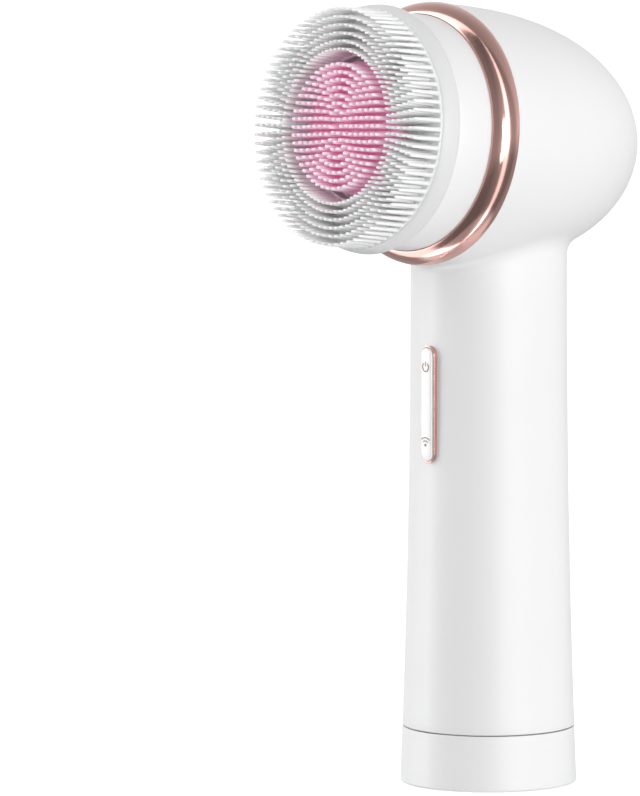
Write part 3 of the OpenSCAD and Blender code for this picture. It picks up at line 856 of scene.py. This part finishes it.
def white_bristles():
    """Six rings of bristles on the outer pad, the bristles of every ring on the same radii."""
    back, tips, radius, hole = along_head("outer_bristles")
    face = 42.2 * MM
    bore = hole + 0.02 * MM
    per_ring = 80
    first_ring, last_ring, ring_count = 18.55 * MM, 28.3 * MM, 6
    pad = lathe("outer_pad", rounded([
        (bore, back, 0),
        (radius, back, 0),
        (radius, face, 0.5 * MM),
        (bore, face, 0.35 * MM),
    ]), HEAD)
    rings = [(r, per_ring, 0.0) for r in np.linspace(first_ring, last_ring, ring_count)]
    field = bristle_field("white_bristles", pad, rings, face, tips - face, 0.6 * MM, 0.35 * MM, 5)
    return finish(field, "white_silicone", "outer_brush", "outer_bristles")


def pink_bristles():
    """Eight rings of bristles on the hub, six more in each ring than in the one inside it."""
    back, tips, radius, _ = along_head("hub_bristles")
    face = 43.6 * MM
    pitch, ring_count = 1.87 * MM, 8
    skirt_in, under = radius - 0.6 * MM, back + 1.5 * MM
    pad = lathe("hub_pad", rounded([
        (0, face, 0),
        (0, under, 0),
        (skirt_in, under, 0),
        (skirt_in, back, 0),
        (radius, back, 0.2 * MM),
        (radius, face, 0.7 * MM),
    ]), HEAD)
    level = math.radians(5.7)      # turns the rows level as seen from the camera's side
    rings = [(pitch * k, 6 * k, level) for k in range(1, ring_count + 1)]
    field = bristle_field("pink_bristles", pad, rings, face, tips - face, 0.62 * MM, 0.45 * MM, 9)
    return finish(field, "pink_silicone", "hub_brush", "hub_bristles")


# ---------------------------------------------------------------- button

def button_frame():
    """Rose-gold frame: a thin rolled rim that stands out of the casing, and a hidden flange."""
    front = -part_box("button_bezel")[0].y
    wall, edge = 0.375 * MM, 0.18 * MM
    flange, flange_back, flange_front = 1.5 * MM, 15.1 * MM, 16.1 * MM
    outline = rounded([
        (-wall, flange_back, 0),
        (flange, flange_back, 0),
        (flange, flange_front, 0),
        (0, flange_front, 0),
        (0, front, edge),
        (-wall, front, edge),
    ])
    outline.append(outline[0])
    frame_piece = swept_bar("button_frame", BUTTON_W / 2, BUTTON_L / 2, outline, button_middle(), 20)
    return finish(frame_piece, "rose_gold", BODY, "button_bezel")


def button_face():
    """The white rocker's crowned face, with rounded edges."""
    low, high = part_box("button_plate")
    front, back = -low.y, 19 * MM
    half_w, half_l = high.x, (high.z - low.z) / 2
    edge = 0.38 * MM
    shoulder = front - 0.1 * MM
    outline = [(0, back), (0, shoulder - edge)]
    outline += [
        (-edge * (1 - math.cos(a)), shoulder - edge * (1 - math.sin(a)))
        for a in np.linspace(0.2, math.pi / 2, 6)
    ]
    outline += [
        (-0.9 * MM, front - 0.05 * MM), (-1.5 * MM, front - 0.01 * MM), (-half_w + 0.05 * MM, front),
    ]
    face = swept_bar("button_face", half_w, half_l, outline, button_middle(), 20)
    face.modifiers.clear()
    return finish(face, "button_face", "rocker", "button_plate")


def switch_posts():
    """The two posts behind the rocker's ends that press the switches."""
    tip, root, radius = 16.95 * MM, 19.05 * MM, 0.9 * MM
    reach = 10 * MM
    post = rounded([(0, tip, 0), (radius, tip, 0.25 * MM), (radius, root, 0), (0, root, 0)])
    for name, up in (("upper_post", reach), ("lower_post", -reach)):
        piece = lathe(name, post, Matrix.Translation((0, 0, button_middle() + up)) @ FRONT, 32)
        finish(piece, "button_face", "rocker")


def pin_lug():
    """The block behind the rocker's face, bored along X for the pin."""
    pin, bore = 18.2 * MM, 0.55 * MM
    half_x, half_y, half_z = 1.3 * MM, 0.8 * MM, 1.5 * MM
    sides = 48
    outer, inner = [], []
    for k in range(sides):
        a = 2 * math.pi * (k + 0.5) / sides
        square = min(half_z / max(abs(math.cos(a)), 1e-9), half_y / max(abs(math.sin(a)), 1e-9))
        outer.append((square * math.cos(a), square * math.sin(a)))
        inner.append((bore * math.cos(a), bore * math.sin(a)))
    points = [
        (x, -pin - y, button_middle() + z)
        for x in (-half_x, half_x) for ring in (outer, inner) for z, y in ring
    ]
    faces = []
    for j in range(sides):
        k = (j + 1) % sides
        for a, b in ((0, 1), (1, 3), (3, 2), (2, 0)):
            faces.append((a * sides + j, a * sides + k, b * sides + k, b * sides + j))
    lug = mesh_object("pin_lug", points, faces, smooth=False)
    outward(lug)
    return finish(lug, "button_face", "rocker")


def ribbon(points, width):
    """A flat strip of even width along 2-D points. (left edge, right edge)"""
    points = np.array(points)
    ahead = np.gradient(points, axis=0)
    ahead /= np.linalg.norm(ahead, axis=1)[:, None]
    across = np.stack([-ahead[:, 1], ahead[:, 0]], -1) * width / 2
    return points + across, points - across


def printed_mark(name, strips, centre_z, depth):
    """Thin raised print on the rocker's face, made of strips of 2-D points."""
    width, thick = 0.26 * MM, 0.03 * MM
    points, faces = [], []
    for strip in strips:
        left, right = ribbon(strip, width)
        count = len(left)
        base = len(points)
        for level in (depth - thick, depth + thick):
            points += [(x, y, level) for x, y in left] + [(x, y, level) for x, y in right]
        for i in range(count - 1):
            # Lower left, lower right, upper left and upper right corner of the strip's section
            ll, lr, ul, ur = base + i, base + count + i, base + 2 * count + i, base + 3 * count + i
            faces += [(ul, ul + 1, ur + 1, ur), (ll, lr, lr + 1, ll + 1),
                      (ll, ll + 1, ul + 1, ul), (lr, ur, ur + 1, lr + 1)]
        for i, flip in ((0, 1), (count - 1, -1)):
            end = [base + i, base + 2 * count + i, base + 3 * count + i, base + count + i]
            faces.append(end[::flip])
    mark = mesh_object(name, points, faces, smooth=False)
    on_front(mark, centre_z)
    outward(mark)
    return finish(mark, "mark", "rocker")


def arc(radius, first, last, centre_y=0.0):
    """Points of an arc between two angles in degrees."""
    return [
        (radius * math.cos(math.radians(a)), centre_y + radius * math.sin(math.radians(a)))
        for a in np.linspace(first, last, 24)
    ]


def button_marks():
    """Plain symbols: a power sign above, and arcs over a dot below for the mode."""
    depth = -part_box("button_plate")[0].y
    reach = 9.1 * MM
    ring = 1.05 * MM
    power = [arc(ring, 125, 415), [(0, 0.15 * MM), (0, 0.8 * MM), (0, 1.4 * MM)]]
    printed_mark("power_mark", power, button_middle() + reach, depth)
    foot = -0.95 * MM
    waves = [arc(r, 48, 132, foot) for r in (1.25 * MM, 2.05 * MM)]
    dot = arc(0.22 * MM, 0, 359, foot + 0.25 * MM)
    printed_mark("mode_mark", waves + [dot], button_middle() - reach, depth)


# ---------------------------------------------------------------- CAD nodes that stay

def dress_cad_nodes():
    """Gives every CAD node its slot's material."""
    slots = {part["node"]: part["material_slot"] for part in frame["record"]["subparts"]}
    for name, obj in frame["nodes"].items():
        obj.data.materials.clear()
        obj.data.materials.append(MATERIALS[slots[name]])


# ---------------------------------------------------------------- stage

CAMERA_AZIMUTH = 48.3
CAMERA_ELEVATION = 7.6
CAMERA_DISTANCE = 6.0         # far enough away that the view has next to no perspective
VIEW_HEIGHT = 191.8 * MM      # what the picture's height spans at the handle
AIM_HEIGHT = 93.0 * MM
AIM_LEFT = 40.65 * MM         # how far left of the handle's axis the camera aims
WALL_LIGHT = 0.93
FLOOR_GLOW = 0.42


def direction(azimuth, elevation):
    """Unit vector towards a viewpoint. Azimuth 0 is in front, 90 on the +X side."""
    a, e = math.radians(azimuth), math.radians(elevation)
    return Vector((math.sin(a) * math.cos(e), -math.cos(a) * math.cos(e), math.sin(e)))


def face_along(obj, place, back):
    """Puts a camera or a light at a place, facing against the direction back."""
    obj.location = place
    obj.rotation_mode = "QUATERNION"
    obj.rotation_quaternion = (-back).to_track_quat("-Z", "Y")
    bpy.context.scene.collection.objects.link(obj)


def camera():
    back = direction(CAMERA_AZIMUTH, CAMERA_ELEVATION)
    right = direction(CAMERA_AZIMUTH + 90, 0)
    aim = Vector((0, 0, AIM_HEIGHT)) - right * AIM_LEFT
    data = bpy.data.cameras.new("camera")
    data.sensor_fit = "VERTICAL"
    data.sensor_height = 36
    data.lens = data.sensor_height * CAMERA_DISTANCE / VIEW_HEIGHT
    data.clip_start, data.clip_end = 0.1, 100
    eye = bpy.data.objects.new("camera", data)
    face_along(eye, aim + back * CAMERA_DISTANCE, back)
    bpy.context.scene.camera = eye


def area_light(name, azimuth, elevation, distance, size, power):
    """A soft box that faces the object's middle from a viewpoint direction."""
    back = direction(azimuth, elevation)
    data = bpy.data.lights.new(name, "AREA")
    data.shape = "RECTANGLE"
    data.size, data.size_y = size
    data.energy = power
    face_along(bpy.data.objects.new(name, data), Vector((0, 0, 0.1)) + back * distance, back)


def maths(tree, operation, first, second):
    """A Math node's result for two values, of which the second may be a plain number."""
    node = tree.nodes.new("ShaderNodeMath")
    node.operation = operation
    tree.links.new(first, node.inputs[0])
    if isinstance(second, (int, float)):
        node.inputs[1].default_value = second
    else:
        tree.links.new(second, node.inputs[1])
    return node.outputs[0]


def surroundings():
    """Studio walls: a lightness for each compass direction, dimmed or raised with height."""
    # (azimuth, lightness), with a white panel at front left and another at the right
    walls = [(-180, 1.08), (-72, 1.08), (-67, 5.2), (-38, 5.2), (-31, 0.7), (-5, 0.5),
             (38, 0.5), (58, 0.7), (79, 0.9), (84, 4.4), (98, 4.4), (103, 0.6), (124, 0.6), (138, 1.08),
             (180, 1.08)]
    # (height from 0 straight down to 1 straight up, factor)
    heights = [(0.0, 1.1), (0.07, 1.1), (0.1, 0.4), (0.38, 0.45), (0.5, 1.0), (0.75, 0.75), (1.0, 0.4)]
    world = bpy.data.worlds.new("studio")
    world.use_nodes = True
    tree = world.node_tree
    background = tree.nodes["Background"]
    background.inputs["Strength"].default_value = WALL_LIGHT
    place = tree.nodes.new("ShaderNodeTexCoord")
    split = tree.nodes.new("ShaderNodeSeparateXYZ")
    tree.links.new(place.outputs["Generated"], split.inputs[0])
    front = maths(tree, "MULTIPLY", split.outputs["Y"], -1)
    compass = maths(tree, "ARCTAN2", split.outputs["X"], front)
    turn = spread(tree, compass, 0, 1, -math.pi, math.pi)
    brightest = max(light for _, light in walls)
    around = ramp(tree, turn, [((az + 180) / 360, (light / brightest,) * 3) for az, light in walls])
    upright = spread(tree, split.outputs["Z"], 0, 1, -1, 1)
    upward = ramp(tree, upright, [(level, (light,) * 3) for level, light in heights])
    mixed = tree.nodes.new("ShaderNodeVectorMath")
    mixed.operation = "MULTIPLY"
    tree.links.new(around, mixed.inputs[0])
    tree.links.new(upward, mixed.inputs[1])
    scaled = tree.nodes.new("ShaderNodeVectorMath")
    scaled.operation = "SCALE"
    scaled.inputs["Scale"].default_value = brightest
    tree.links.new(mixed.outputs[0], scaled.inputs[0])
    tree.links.new(scaled.outputs[0], background.inputs["Color"])
    bpy.context.scene.world = world


def floor():
    """A pale floor that glows faintly, as a backlit table does, and stays out of the metal's shine."""
    half = 30                 # metres, far out of every view
    level = -0.05 * MM        # a hair under the base, so that the two faces don't coincide
    corners = [(-half, -half, level), (half, -half, level), (half, half, level), (-half, half, level)]
    piece = mesh_object("floor", corners, [(0, 1, 2, 3)], smooth=False)
    material, tree, shader = new_material("pale_floor", Roughness=0.7, Emission_Color=(1, 1, 1, 1),
                                          Emission_Strength=FLOOR_GLOW)
    patches = noise(tree, place_texture(tree), 3, 4)
    tone = ramp(tree, patches, [(0.3, (0.79, 0.79, 0.79)), (0.7, (0.81, 0.81, 0.81))])
    tree.links.new(tone, shader.inputs["Base Color"])
    piece.data.materials.append(material)
    piece.visible_glossy = False
    piece.visible_diffuse = False


def studio():
    """The walls' light, the floor and one soft box at the right."""
    bpy.context.scene.view_settings.view_transform = "Standard"
    surroundings()
    floor()
    area_light("key", azimuth=72, elevation=6, distance=1.4, size=(0.3, 0.7), power=7.6)


# ---------------------------------------------------------------- build

dress_cad_nodes()
casing()
base_cap()
trim_ring()
collar()
brush_disc()
hub_disc()
white_bristles()
pink_bristles()
button_frame()
button_face()
switch_posts()
pin_lug()
button_marks()
camera()
studio()
